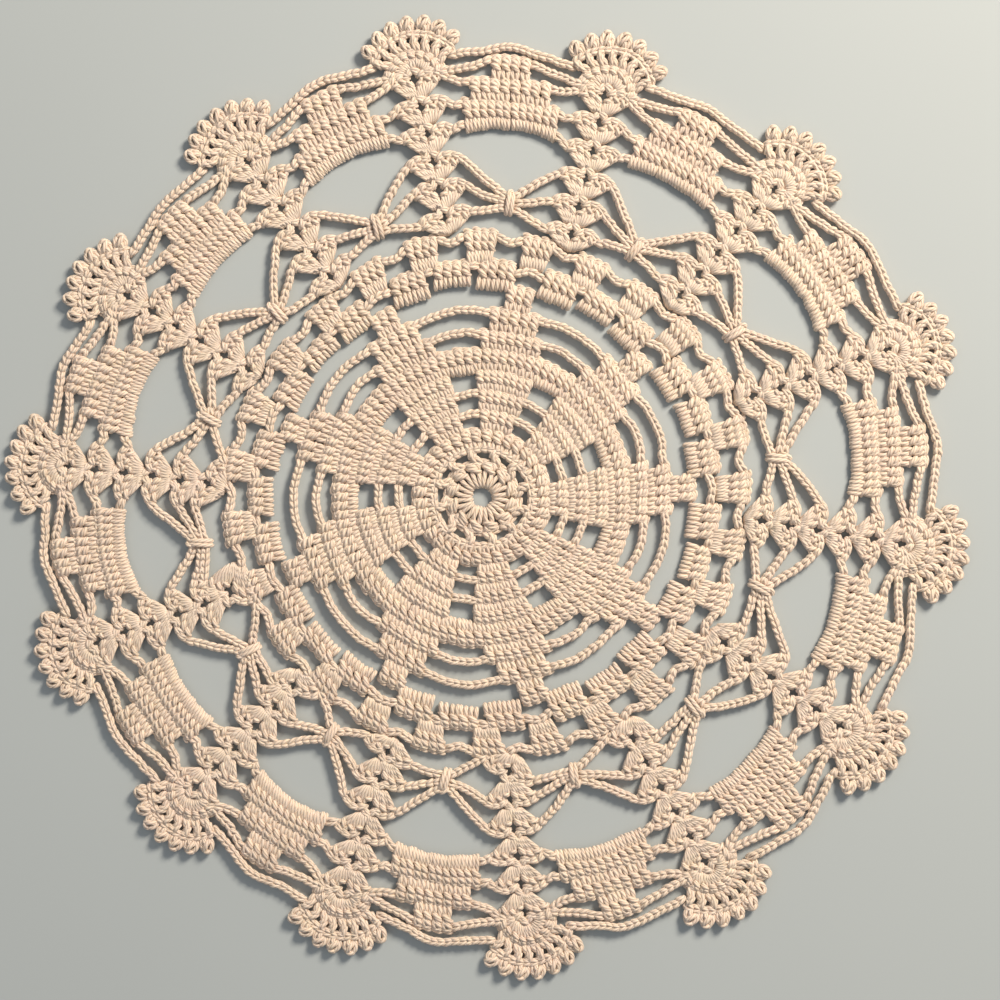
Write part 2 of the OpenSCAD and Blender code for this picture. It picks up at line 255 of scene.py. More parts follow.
PATTERNS = {
    "Double crochet": UPPER_WRAPS + TOP_LOOPS + [
        (0.8, 0.86, [(-0.05, -0.08, 0.9), (-0.17, 0.04, 1.5), (-0.25, 0.19, 1.95),
                     (-0.24, 0.36, 1.75), (-0.08, 0.51, 1.2)]),
        (0.8, 0.86, [(0.09, -0.08, 0.9), (0.21, 0.04, 1.55), (0.29, 0.19, 1.95),
                     (0.26, 0.33, 1.65), (0.1, 0.46, 1.1)]),
    ],
    "Double crochet over a chain": UPPER_WRAPS + TOP_LOOPS + [
        (0.78, 0.78, [(-0.25, -0.07, 0.8), (-0.26, -0.04, 1.4), (-0.25, 0.06, 2.0),
                      (-0.25, 0.22, 1.95), (-0.2, 0.38, 1.5), (-0.06, 0.5, 1.1)]),
        (0.78, 0.78, [(0.24, -0.07, 0.8), (0.25, -0.04, 1.4), (0.26, 0.06, 2.0),
                      (0.27, 0.2, 1.9), (0.24, 0.35, 1.5), (0.08, 0.46, 1.1)]),
    ],
    "Fan stitch": LONG_WRAPS + [
        (0.62, 0.88, [(-0.26, 0.0, 0.7), (-0.27, 0.05, 1.5), (-0.27, 0.18, 2.0),
                      (-0.26, 0.4, 1.95), (-0.22, 0.57, 1.6), (-0.06, 0.68, 1.1)]),
        (0.62, 0.88, [(0.26, 0.0, 0.7), (0.27, 0.05, 1.5), (0.27, 0.18, 2.0), (0.28, 0.4, 1.9),
                      (0.25, 0.54, 1.5), (0.08, 0.64, 1.1)]),
    ],
    "Fan top": TOP_LOOPS,
    "Shell stitch": [
        (0.66, 0.9, [(-0.25, -0.04, 0.7), (-0.26, 0.03, 1.6), (-0.27, 0.2, 2.2), (-0.26, 0.46, 2.1),
                     (-0.24, 0.68, 1.7), (-0.1, 0.8, 1.1)]),
        (0.66, 0.9, [(0.25, -0.04, 0.7), (0.26, 0.03, 1.6), (0.27, 0.2, 2.2), (0.28, 0.42, 2.05),
                     (0.26, 0.62, 1.6), (0.12, 0.74, 1.1)]),
        (0.76, 0.76, [(-0.4, 0.9, 1.0), (-0.3, 0.87, 1.9), (-0.08, 0.81, 2.5), (0.14, 0.74, 2.4),
                      (0.34, 0.68, 1.7)]),
        (0.74, 0.74, [(0.12, 0.86, 1.4), (0.28, 0.82, 1.9), (0.32, 0.92, 1.8), (0.18, 1.0, 1.3)]),
    ],
    "Chain": [
        (0.74, 0.74, [(0.02, -0.36, 1.1), (0.13, -0.05, 1.95), (0.23, 0.3, 2.15),
                      (0.255, 0.62, 1.75), (0.18, 0.95, 1.2), (0.05, 1.2, 0.9)]),
        (0.74, 0.74, [(-0.02, -0.36, 1.1), (-0.13, -0.05, 1.95), (-0.23, 0.3, 2.15),
                      (-0.255, 0.62, 1.75), (-0.18, 0.95, 1.2), (-0.05, 1.2, 0.9)]),
        (0.7, 0.7, [(-0.14, 0, 0.8), (0, 0.45, 0.7), (0.14, 0.9, 0.8)]),
    ],
    "Tie": [
        (0.78, 0.82, [(-0.42, -0.02, 0.8), (-0.4, 0.03, 1.8), (-0.3, 0.25, 2.8), (-0.12, 0.65, 3.0),
                      (0.02, 0.97, 2.2), (0.05, 1.03, 1.2)]),
        (0.78, 0.82, [(0.2, -0.04, 0.8), (0.22, 0.01, 1.8), (0.3, 0.22, 2.8), (0.42, 0.6, 3.0),
                      (0.5, 0.9, 2.2), (0.52, 1.0, 1.2)]),
        (0.7, 0.7, [(-0.5, 0.8, 1.4), (-0.35, 0.9, 2.3), (-0.05, 1.08, 2.5), (0.3, 1.1, 1.8)]),
    ],
    "Mesh post": [
        (0.84, 0.84, [(-0.2, -0.1, 0.9), (-0.26, 0.08, 1.6), (-0.18, 0.36, 2.2), (0.08, 0.6, 2.2),
                      (0.3, 0.74, 1.5)]),
        (0.84, 0.84, [(0.22, -0.1, 0.9), (0.26, 0.1, 1.7), (0.2, 0.34, 1.9), (0.1, 0.5, 1.4)]),
        (0.82, 0.82, [(-0.34, 0.46, 1.2), (-0.24, 0.58, 2.1), (0.0, 0.82, 2.5), (0.26, 1.0, 1.7)]),
        (0.78, 0.78, [(0.3, 0.66, 1.6), (0.24, 0.88, 2.0), (0.06, 1.06, 1.7)]),
    ],
    "Picot": [
        (0.84, 0.84, [(-0.3, -0.16, 1.2), (-0.44, 0.06, 1.9), (-0.42, 0.34, 2.1),
                      (-0.24, 0.62, 1.9), (-0.02, 0.72, 1.3)]),
        (0.84, 0.84, [(0.26, -0.16, 1.2), (0.42, 0.02, 1.8), (0.46, 0.28, 1.9), (0.3, 0.5, 1.9),
                      (0.12, 0.58, 1.3)]),
        (0.84, 0.84, [(-0.32, 0.48, 1.2), (-0.1, 0.74, 2.0), (0.16, 0.74, 2.1), (0.36, 0.54, 1.3)]),
        (0.82, 0.82, [(-0.3, 0.02, 1.8), (-0.1, 0.2, 2.8), (0.12, 0.42, 2.9), (0.26, 0.62, 2.0)]),
        (0.8, 0.8, [(0.12, -0.14, 1.8), (0.16, 0.08, 2.6), (0.02, 0.26, 2.2)]),
    ],
}
KINDS = {name: number for number, name in enumerate(PATTERNS)}


class Work:
    """The stitches of one piece: for each its pattern and the four corners of its patch."""

    def __init__(self):
        self.kinds = []
        self.corners = []

    def stitch(self, kind, foot_left, foot_right, head_left, head_right):
        self.kinds.append(KINDS[kind])
        self.corners.append((foot_left, foot_right, head_left, head_right))

    def row(self, kind, count, foot, head, margin=0.0):
        """Stitches side by side: foot and head give a point for a place from 0 to 1.

        The margin is the part of a stitch that is left free at each end of the row.
        """
        for i in range(count):
            a = mix(margin, count - margin, i / count) / count
            b = mix(margin, count - margin, (i + 1) / count) / count
            self.stitch(kind, foot(a), foot(b), head(a), head(b))

    def chain(self, points, width=CHAIN_W):
        """Chain links along a smooth line through the points."""
        line = smooth_line(points)
        lengths = [0]
        for a, b in zip(line, line[1:]):
            lengths.append(lengths[-1] + (b - a).length)
        count = max(1, round(lengths[-1] / CHAIN_PITCH))
        marks = [along_line(line, lengths, lengths[-1] * i / count) for i in range(count + 1)]
        for i, (a, b) in enumerate(zip(marks, marks[1:])):
            before, after = marks[max(0, i - 1)], marks[min(count, i + 2)]
            left = sideways(before, b) * width / 2
            right = sideways(a, after) * width / 2
            self.stitch("Chain", a - left, a + left, b - right, b + right)


def sideways(a, b):
    """The unit vector to the right of the way from a to b."""
    v = (b - a).normalized()
    return Vector((v.y, -v.x))


def smooth_line(points, steps=6):
    """Points of a curve that passes through the given ones."""
    ends = [2 * points[0] - points[1]] + list(points) + [2 * points[-1] - points[-2]]
    line = []
    for p, q, r, s in zip(ends, ends[1:], ends[2:], ends[3:]):
        for i in range(steps):
            t = i / steps
            bend = (2 * q + (r - p) * t + (2 * p - 5 * q + 4 * r - s) * t * t
                    + (3 * q - p - 3 * r + s) * t ** 3)
            line.append(bend / 2)
    return line + [points[-1]]


def along_line(line, lengths, distance):
    """The point at a distance along a line, given the distances of its corners."""
    for i in range(len(line) - 1):
        if distance <= lengths[i + 1] or i == len(line) - 2:
            part = (distance - lengths[i]) / (lengths[i + 1] - lengths[i])
            return line[i].lerp(line[i + 1], part)


def bowed(a, b, bow):
    """A run of chain between two points, bowed to the left by a length."""
    return [a, a.lerp(b, 0.5) - sideways(a, b) * bow, b]


# ---- The stitches of each round ----


def star_row(work, kind, count, r0, r1, a0, a1, top=0.0, margin=0.0):
    """A row of the star between two radii and two angles; top widens it at its head."""
    work.row(kind, count,
             lambda t: in_star(r0, mix(a0, a1, t)),
             lambda t: in_star(r1, mix(a0 - top, a1 + top, t)), margin)


def centre_round(work):
    foot = HOLE_R + 0.75
    star_row(work, "Fan stitch", CENTRE_STITCHES, foot, STAR_R[0], 0, 360)
    star_row(work, "Fan top", CENTRE_STITCHES, foot, STAR_R[0] - 0.1, 0, 360)


def mesh_round(work):
    """Slanted posts, whose heads lie behind their feet."""
    for k in range(CENTRE_STITCHES):
        a = (k + 0.8) * 360 / CENTRE_STITCHES
        r0, r1 = STAR_R[0] - 0.2, STAR_R[1] - 0.4
        work.stitch("Mesh post", in_star(r0, a - 8), in_star(r0, a + 7),
                    in_star(r1, a - 19), in_star(r1, a - 3))


def mesh_chain(work):
    rim = STAR_R[1] - 0.2
    work.chain([in_star(rim, a) for a in range(0, 361, 15)], FINE_CHAIN_W)


def inner_round(work):
    star_row(work, "Double crochet over a chain", 3 * CENTRE_STITCHES, STAR_R[1], STAR_R[2],
             0, 360)


def petal_round(number):
    def rows(work):
        half = PETAL_HALF[number]
        for k in range(PETALS):
            a = petal_angle(k)
            star_row(work, "Double crochet", PETAL_STITCHES[number],
                     STAR_R[number - 2], STAR_R[number - 1], a - half, a + half, 0, 0.12)
    return rows


def joined_round(work):
    """Stitches in each petal, and over the chain of each window between two petals."""
    on_petal, on_window = JOINED_STITCHES["petal"], JOINED_STITCHES["window"]
    step = 360 / PETALS / (on_petal + on_window)
    for k in range(PETALS):
        a0, a1 = petal_angle(k) - on_petal / 2 * step, petal_angle(k) + on_petal / 2 * step
        star_row(work, "Double crochet", on_petal, STAR_R[5], STAR_R[6], a0, a1)
        star_row(work, "Double crochet over a chain", on_window, STAR_R[5], STAR_R[6],
                 a1, petal_angle(k) + (on_petal / 2 + on_window) * step)


def star_chain(work, number, lift):
    """Arcs of chain from petal to petal in one round, bowed outwards by a lift."""
    half = PETAL_HALF[number]
    r = STAR_R[number - 1] - 1.1
    for k in range(PETALS):
        a0, a1 = petal_angle(k) + half - 0.6, petal_angle(k + 1) - half + 0.6
        points = [in_star(r + lift * (1 - (2 * t - 1) ** 2), mix(a0, a1, t))
                  for t in (0, 0.25, 0.5, 0.75, 1)]
        work.chain(points)


def window_chains(work):
    star_chain(work, 4, 0)
    star_chain(work, 5, 0)


def star_chains_8(work):
    star_chain(work, 8, 1.2)


def star_chains_9(work):
    star_chain(work, 9, 1.2)


def band_round_11(work):
    """Three blocks from tip to tip; the two outer ones stand away from the petals' tips."""
    half, aside, raised = 5.6, 1.8, 1.2
    for k in range(BLOCKS):
        place = k % 3 - 1
        a = block_angle(k + 0.5) - aside * place
        star_row(work, "Double crochet over a chain", BLOCK_STITCHES,
                 BAND_R[0] + (raised if place == 0 else 0), BAND_R[1], a - half, a + half,
                 -0.8, 0.16)


def band_chains_11(work):
    """A long chain over each petal's tip, and short ones between the other blocks."""
    r = BAND_R[1] - 1.4
    for k in range(BLOCKS):
        half, dip, shift = ((3.6, 1.4, 0), (1, 0, 0.9), (1, 0, -0.9))[k % 3]
        work.chain([in_star(r - dip * abs(t), block_angle(k) + shift + half * t)
                    for t in (-1, 0, 1)])


def band_round_12(work):
    half = 3.1
    for k in range(BLOCKS):
        star_row(work, "Double crochet over a chain", BLOCK_STITCHES, BAND_R[1], BAND_R[2],
                 block_angle(k) - half, block_angle(k) + half, 0.9, 0.12)


def band_chains_12(work):
    for k in range(BLOCKS):
        a0, a1 = block_angle(k) + 3.9, block_angle(k + 1) - 3.9
        work.chain([in_star(BAND_R[2] - 1.3 - (1.6 if t == 0.5 else 0), mix(a0, a1, t))
                    for t in (0, 0.5, 1)])


def shell_round(row):
    """Three stitches on each side of a hole, with a braided top that bridges the hole."""
    def rows(work):
        for k in range(COLUMNS):
            for side in (-1, 1):
                edge = smooth_line(shell_line(k, row, SHELL_HEADS, side), 4)

                def foot(t):
                    u = mix(-0.1, 3.0, t)
                    return shell_point(k, row, side * u, 2.1 + 0.25 * u)

                def head(t):
                    place = t * (len(edge) - 1)
                    i = min(int(place), len(edge) - 2)
                    return edge[i].lerp(edge[i + 1], place - i)

                if side > 0:
                    work.row("Shell stitch", 3, foot, head)
                else:
                    work.row("Shell stitch", 3, lambda t: foot(1 - t), lambda t: head(1 - t))
                work.chain(shell_line(k, row, SHELL_BRAID, side), FINE_CHAIN_W)
            work.chain(shell_line(k, row, SHELL_BRIDGE), 2.0)
    return rows


def tie_chain(row):
    """Chains from the shells of one row on each side of a gap to the tie in its middle."""
    def rows(work):
        for k in range(COLUMNS):
            for side in (0, 1):
                corner = shell_corner(k + side, row, 1 - 2 * side)
                turn = math.degrees(TIE_W * 0.3 / TIE_R[row])
                squeezed = mix(TIE_R[1], TIE_R[row], 0.6)
                edge = in_rim(squeezed, arch_angle(k) + (2 * side - 1) * turn)
                dice = random.Random(31 * row + 2 * k + side)
                bow = dice.uniform(-CHAIN_BOW, CHAIN_BOW)
                work.chain(bowed(corner, edge, bow))
    return rows


def ties(work):
    r0, r1 = TIE_R[0] - 0.6, TIE_R[2] + 0.3
    turn = math.degrees(TIE_W * 0.42 / TIE_R[1])
    for k in range(COLUMNS):
        a = arch_angle(k)
        lean = random.Random(k).uniform(-TIE_LEAN, TIE_LEAN)
        work.stitch("Tie", in_rim(r0, a - turn), in_rim(r0, a + turn),
                    in_rim(r1, a - turn + lean), in_rim(r1, a + turn + lean))


def arch_round(number):
    """A row of an arch; the first is worked over the chain, which hangs down at its ends."""
    def rows(work):
        kind = "Double crochet" if number else "Double crochet over a chain"
        half = ARCH_HALF[number]
        for k in range(COLUMNS):
            a = arch_angle(k)
            work.row(kind, ARCH_STITCHES[number],
                     lambda t: in_rim(ARCH_R[number] - (0 if number else 1.4) * (2 * t - 1) ** 2,
                                      mix(a - half, a + half, t)),
                     lambda t: in_rim(ARCH_R[number + 1], mix(a - half, a + half, t)), 0.14)
    return rows


def arch_chain(row, r, half, bow):
    """Chains from the shells of one row to the two ends of a row of each arch."""
    def rows(work):
        for k in range(COLUMNS):
            for side in (0, 1):
                corner = shell_corner(k + side, row, 1 - 2 * side)
                edge = in_rim(r, arch_angle(k) + (2 * side - 1) * (half - 0.25))
                work.chain(bowed(corner, edge, bow * (2 * side - 1)))
    return rows


def arch_chains_19(work):
    for k in range(COLUMNS):
        for side in (0, 1):
            foot = on_fan(k + side, 8.4, (1 - 2 * side) * 86)
            edge = in_rim(ARCH_R[3] - 1.1, arch_angle(k) + (2 * side - 1) * (ARCH_HALF[2] - 0.25))
            work.chain(bowed(foot, edge, 0.4 * (2 * side - 1)))


def fan_round_19(work):
    for k in range(COLUMNS):
        for kind in ("Fan stitch", "Fan top"):
            work.row(kind, FAN_STITCHES,
                     lambda t: on_fan(k, FAN_FOOT_R, mix(-FAN_HALF, FAN_HALF, t)),
                     lambda t: on_fan(k, FAN_R, mix(-FAN_HALF, FAN_HALF, t)))


def fan_mesh_20(work):
    """Slanted posts, one at each side of every picot."""
    r0, r1 = FAN_R + 0.3, MESH_R - 1.7
    for k in range(COLUMNS):
        for i in range(PICOTS + 1):
            t = mix(-PICOT_SPREAD - 8, PICOT_SPREAD + 8, i / PICOTS)
            work.stitch("Mesh post", on_fan(k, r0, t - 4), on_fan(k, r0, t + 12),
                        on_fan(k, r1, t - 9), on_fan(k, r1, t + 3))


def fan_chain_20(work):
    reach = PICOT_SPREAD + 10
    for k in range(COLUMNS):
        work.chain([on_fan(k, MESH_R - 1.3, t) for t in range(-reach, reach + 1, 15)])


def edge_chains_20(work):
    for k in range(COLUMNS):
        top = in_rim(EDGE_R, arch_angle(k))
        feet = [on_fan(k + side, 13.2, (1 - 2 * side) * 66) for side in (0, 1)]
        work.chain([feet[0], feet[0].lerp(top, 0.5), top, top.lerp(feet[1], 0.5), feet[1]])


def picots(work):
    r0, r1 = MESH_R + 0.3, PICOT_R + 0.2
    for k in range(COLUMNS):
        for i in range(PICOTS):
            t = mix(-PICOT_SPREAD, PICOT_SPREAD, i / (PICOTS - 1))
            left, right = t - PICOT_HALF, t + PICOT_HALF
            work.stitch("Picot", on_fan(k, r0, left), on_fan(k, r0, right),
                        on_fan(k, r1, left), on_fan(k, r1, right))


# ---- Node trees ----


class Field:
    """A node's output, on which sums are written as plain expressions."""

    def __init__(self, maker, socket):
        self.maker = maker
        self.socket = socket

    def other(self, name):
        """Another output of the same node."""
        return Field(self.maker, self.maker.find(self.socket.node.outputs, name))

    def __add__(self, other):
        return self.maker.sum("ADD", self, other)

    def __radd__(self, other):
        return self.maker.sum("ADD", other, self)

    def __rsub__(self, other):
        return self.maker.sum("SUBTRACT", other, self)

    def __mul__(self, other):
        return self.maker.sum("MULTIPLY", self, other)


class NodeMaker:
    """Adds nodes to one tree."""

    def __init__(self, tree):
        self.tree = tree

    @staticmethod
    def find(sockets, name):
        if name.isdigit():
            return sockets[int(name)]
        return next(s for s in sockets if s.name == name and s.enabled)

    def add(self, kind, settings=None, **values):
        """A node of a kind: its settings first, then the values or links of its sockets.

        A space in a socket's name is written as an underscore. The first output is returned.
        """
        node = self.tree.nodes.new(kind)
        for name, value in (settings or {}).items():
            setattr(node, name, value)
        for name, value in values.items():
            self.feed(self.find(node.inputs, name.replace("_", " ")), value)
        outputs = [s for s in node.outputs if s.enabled]
        return Field(self, outputs[0]) if outputs else node

    def feed(self, socket, value):
        """Sets or links one socket; a list links every item of it."""
        for one in value if isinstance(value, list) else [value]:
            if isinstance(one, Field):
                self.tree.links.new(one.socket, socket)
            else:
                socket.default_value = one

    def sum(self, operation, a, b):
        """A Math node on values, or a Vector Math node where a vector takes part."""
        vector = any(isinstance(x, Field) and x.socket.type == "VECTOR" for x in (a, b))
        node = self.tree.nodes.new("ShaderNodeVectorMath" if vector else "ShaderNodeMath")
        node.operation = operation
        for socket, value in zip(node.inputs, (a, b)):
            plain = isinstance(value, (int, float))
            self.feed(socket, (value,) * 3 if vector and plain else value)
        return Field(self, node.outputs[0])

    def maths(self, operation, a, b=0.0):
        """A Math node on one or two values."""
        node = self.tree.nodes.new("ShaderNodeMath")
        node.operation = operation
        self.feed(node.inputs[0], a)
        self.feed(node.inputs[1], b)
        return Field(self, node.outputs[0])

    def blend(self, a, b, amount, kind="VECTOR"):
        """A Mix node that may run past its ends."""
        return self.add("ShaderNodeMix", {"data_type": kind, "clamp_factor": kind == "RGBA"},
                        Factor=amount, A=a, B=b)


TREE_NAME = "Worked stitches"
TREE_INPUTS = (
    ("Stray", "NodeSocketFloat"), ("Stray_scale", "NodeSocketFloat"),
    ("Lie", "NodeSocketFloat"), ("Fullness", "NodeSocketFloat"), ("Sides", "NodeSocketInt"),
    ("Steps", "NodeSocketInt"), ("Seed", "NodeSocketInt"), ("Yarn", "NodeSocketMaterial"),
)


def stitch_tree():
    """Bends the strands of each stitch's pattern to its patch, and gives them their yarn."""
    tree = bpy.data.node_groups.get(TREE_NAME)
    if tree:
        return tree
    tree = bpy.data.node_groups.new(TREE_NAME, "GeometryNodeTree")
    face = tree.interface
    face.new_socket("Stitches", in_out="INPUT", socket_type="NodeSocketGeometry")
    for name in PATTERNS:
        face.new_socket(name, in_out="INPUT", socket_type="NodeSocketObject")
    for name, kind in TREE_INPUTS:
        face.new_socket(name, in_out="INPUT", socket_type=kind)
    face.new_socket("Worked yarn", in_out="OUTPUT", socket_type="NodeSocketGeometry")

    make = NodeMaker(tree)
    given = make.add("NodeGroupInput")

    def attribute(name, kind="FLOAT_VECTOR"):
        return make.add("GeometryNodeInputNamedAttribute", {"data_type": kind}, Name=name)

    placed = []
    for name, number in KINDS.items():
        chosen = make.add("FunctionNodeCompare", {"data_type": "INT", "operation": "EQUAL"},
                          A=attribute("kind", "INT"), B=number)
        strands = make.add("GeometryNodeObjectInfo", Object=given.other(name)).other("Geometry")
        placed.append(make.add("GeometryNodeInstanceOnPoints", Points=given, Selection=chosen,
                               Instance=strands))
    joined = make.add("GeometryNodeJoinGeometry", Geometry=placed)
    loose = make.add("GeometryNodeRealizeInstances", Geometry=joined)

    local = make.add("ShaderNodeSeparateXYZ", Vector=attribute("local"))
    out = local.other("Y")
    middle = make.blend(attribute("foot"), attribute("head"), out)
    width = make.blend(attribute("foot_across"), attribute("head_across"), out)
    place = middle + width * local + make.add("ShaderNodeCombineXYZ", Z=local.other("Z"))
    seed = given.other("Seed")
    fine = make.add("ShaderNodeTexNoise", {"noise_dimensions": "4D"}, Vector=place, W=seed,
                    Scale=given.other("Stray_scale"), Detail=1.0).other("Color")
    broad = make.add("ShaderNodeTexNoise", {"noise_dimensions": "4D"}, Vector=place, W=seed + 7,
                     Scale=given.other("Stray_scale") * BROAD_STRAY_SCALE,
                     Detail=0.0).other("Color")
    lift = make.add("ShaderNodeTexNoise", {"noise_dimensions": "4D"}, Vector=place, W=seed + 13,
                    Scale=given.other("Stray_scale") * LIFT_SCALE, Detail=0.0)
    half = (0.5, 0.5, 0.5)
    stray = make.add("ShaderNodeVectorMath", {"operation": "SUBTRACT"}, **{"0": fine, "1": half})
    drift = make.add("ShaderNodeVectorMath", {"operation": "SUBTRACT"}, **{"0": broad, "1": half})
    level = make.add("ShaderNodeCombineXYZ", X=1.0, Y=1.0, Z=UPRIGHT_STRAY)
    upward = make.add("ShaderNodeCombineXYZ", Z=lift * given.other("Lie"))
    drift = drift * given.other("Stray") * BROAD_STRAY_REACH
    moved = place + (stray * given.other("Stray") + drift) * level
    fat = attribute("fat", "FLOAT") * given.other("Fullness")
    # No strand sinks into the floor: its middle stays at least its radius above
    resting = make.add("ShaderNodeCombineXYZ", X=-1.0, Y=-1.0, Z=fat)
    moved = make.add("ShaderNodeVectorMath", {"operation": "MAXIMUM"}, **{"0": moved, "1": resting})
    bent = make.add("GeometryNodeSetPosition", Geometry=loose, Position=moved + upward)

    strand = make.add("GeometryNodeMeshToCurve", Mesh=bent)
    strand = make.add("GeometryNodeCurveSplineType", {"spline_type": "CATMULL_ROM"}, Curve=strand)
    strand = make.add("GeometryNodeSetSplineResolution", Geometry=strand,
                      Resolution=given.other("Steps"))
    length = make.add("GeometryNodeSplineParameter").other("Length")
    strand = make.add("GeometryNodeStoreNamedAttribute", {"data_type": "FLOAT", "domain": "POINT"},
                      Geometry=strand, Name="along", Value=length)
    ring = make.add("GeometryNodeCurvePrimitiveCircle", {"mode": "RADIUS"},
                    Resolution=given.other("Sides"), Radius=1.0)
    ring = make.add("GeometryNodeStoreNamedAttribute",
                    {"data_type": "FLOAT_VECTOR", "domain": "POINT"}, Geometry=ring, Name="ring",
                    Value=make.add("GeometryNodeInputPosition"))
    tube = make.add("GeometryNodeCurveToMesh", Curve=strand, Profile_Curve=ring,
                    Scale=fat, Fill_Caps=True)
    tube = make.add("GeometryNodeSetShadeSmooth", Geometry=tube)
    tube = make.add("GeometryNodeRealizeInstances", Geometry=tube)
    tube = make.add("GeometryNodeSetMaterial", Geometry=tube, Material=given.other("Yarn"))
    make.add("NodeGroupOutput", **{"Worked_yarn": tube})
    return tree


def yarn_material(yarn):
    """Matt twisted cotton: plies that wind round the strand, painted shade in the grooves between
    them, and slow changes of the ecru.
    """
    material = bpy.data.materials.get(YARN_NAME)
    if material:
        return material
    material = bpy.data.materials.new(YARN_NAME)
    material.use_nodes = True
    tree = material.node_tree
    tree.nodes.clear()
    make = NodeMaker(tree)

    where = make.add("ShaderNodeTexCoord").other("Object")
    along = make.add("ShaderNodeAttribute", {"attribute_name": "along"}).other("Fac")
    ring = make.add("ShaderNodeAttribute", {"attribute_name": "ring"}).other("Vector")
    shade = make.add("ShaderNodeAttribute", {"attribute_name": "shade"}).other("Fac")
    sides = make.add("ShaderNodeSeparateXYZ", Vector=ring)
    turn = make.maths("ARCTAN2", sides.other("Y"), sides)
    wind = turn + along * (2 * math.pi / yarn.ply_length)
    ply = make.maths("ABSOLUTE", make.maths("COSINE", wind * (yarn.plies / 2)))
    round_scale, along_scale = 4.0, 450.0
    fibre_place = make.add("ShaderNodeCombineXYZ", X=make.maths("SINE", wind) * round_scale,
                           Y=make.maths("COSINE", wind) * round_scale, Z=along * along_scale)
    fibres = make.add("ShaderNodeTexNoise", Vector=fibre_place, Scale=1.0, Detail=2.0)
    slow = make.add("ShaderNodeTexNoise", Vector=where, Scale=28.0, Detail=2.0)
    patchy = make.add("ShaderNodeTexNoise", Vector=where, Scale=260.0, Detail=1.0)

    warm = make.blend(tuple(yarn.cream), tuple(yarn.blush), slow, "RGBA")
    worn = make.blend(warm, tuple(yarn.straw), make.maths("POWER", patchy, 2.0) * 0.9, "RGBA")
    # Painted shade: the colour is drawn towards a dark brown in the grooves between the plies,
    # where shade falls.
    groove_shade = make.maths("POWER", 1.0 - ply, 2.5)
    with_painted_shade = make.blend(worn, tuple(yarn.groove_shade), groove_shade * 0.6, "RGBA")
    bright = 0.87 + shade * 0.14 + fibres * 0.14
    colour = make.add("ShaderNodeVectorMath", {"operation": "MULTIPLY"}, **{"0": with_painted_shade, "1": bright})

    height = make.maths("POWER", ply, 0.6) + fibres * 0.3
    bump = make.add("ShaderNodeBump", Strength=0.8, Distance=0.00022, Height=height)
    shader = make.add("ShaderNodeBsdfPrincipled", Base_Color=colour,
                      Roughness=0.72 + fibres * 0.2, Normal=bump)
    node = shader.socket.node
    constants = {"Specular IOR Level": 0.25, "Sheen Weight": 0.35, "Sheen Roughness": 0.45,
                 "Subsurface Weight": 0.12, "Subsurface Scale": 0.0012}
    for name, value in constants.items():
        node.inputs[name].default_value = value
    node.inputs["Sheen Tint"].default_value = (1.0, 0.95, 0.88, 1.0)
    node.inputs["Subsurface Radius"].default_value = (1.0, 0.7, 0.5)
    make.add("ShaderNodeOutputMaterial", Surface=shader)
    return material


def floor_material(stage):
    """Plain matt paint with a faint cloudiness."""
    material = bpy.data.materials.new("floor_paint")
    material.use_nodes = True
    make = NodeMaker(material.node_tree)
    material.node_tree.nodes.clear()
    where = make.add("ShaderNodeTexCoord").other("Object")
    cloud = make.add("ShaderNodeTexNoise", Vector=where, Scale=6.0, Detail=2.0)
    colour = tuple(stage.floor_colour)
    tint = make.blend(colour, tuple(0.94 * c for c in colour[:3]) + (1.0,), cloud, "RGBA")
    shader = make.add("ShaderNodeBsdfPrincipled", Base_Color=tint, Roughness=0.65)
    make.add("ShaderNodeOutputMaterial", Surface=shader)
    return material


# ---- Making a piece ----


def wind_patterns():
    """One object of loose edges for each pattern of strands."""
    objects = {}
    for name, strands in PATTERNS.items():
        points, edges, fats = [], [], []
        for foot_fat, head_fat, strand in strands:
            first, last = len(points), len(strand) - 1
            points += [(u, v, z * MM) for u, v, z in strand]
            edges += [(first + i, first + i + 1) for i in range(last)]
            fats += [mix(foot_fat, head_fat, i / last) * MM for i in range(last + 1)]
        mesh = bpy.data.meshes.new(name)
        mesh.from_pydata(points, edges, [])
        local = mesh.attributes.new("local", "FLOAT_VECTOR", "POINT")
        local.data.foreach_set("vector", [c for p in points for c in p])
        fat = mesh.attributes.new("fat", "FLOAT", "POINT")
        fat.data.foreach_set("value", fats)
        objects[name] = bpy.data.objects.new("pattern_" + name.replace(" ", "_"), mesh)
        bpy.context.scene.collection.objects.link(objects[name])
    return objects


def patch_mesh(name, work, seed):
    """A mesh of loose points, one for each stitch, that carries where the stitch lies."""
    dice = random.Random(seed)

    def pulled():
        return Vector((dice.gauss(0, UNEVEN), dice.gauss(0, UNEVEN)))

    feet = [((a + b) / 2 + pulled()) * MM for a, b, _, _ in work.corners]
    heads = [((c + d) / 2 + pulled()) * MM for _, _, c, d in work.corners]
    foot_across = [(b - a + pulled()) * MM for a, b, _, _ in work.corners]
    head_across = [(d - c + pulled()) * MM for _, _, c, d in work.corners]
    mesh = bpy.data.meshes.new(name)
    mesh.from_pydata([(p.x, p.y, 0) for p in feet], [], [])
    for key, vectors in (("foot", feet), ("head", heads), ("foot_across", foot_across),
                         ("head_across", head_across)):
        data = mesh.attributes.new(key, "FLOAT_VECTOR", "POINT").data
        data.foreach_set("vector", [c for v in vectors for c in (v.x, v.y, 0)])
    mesh.attributes.new("kind", "INT", "POINT").data.foreach_set("value", work.kinds)
    shade = mesh.attributes.new("shade", "FLOAT", "POINT")
    shade.data.foreach_set("value", [dice.random() for _ in work.kinds])
    return mesh


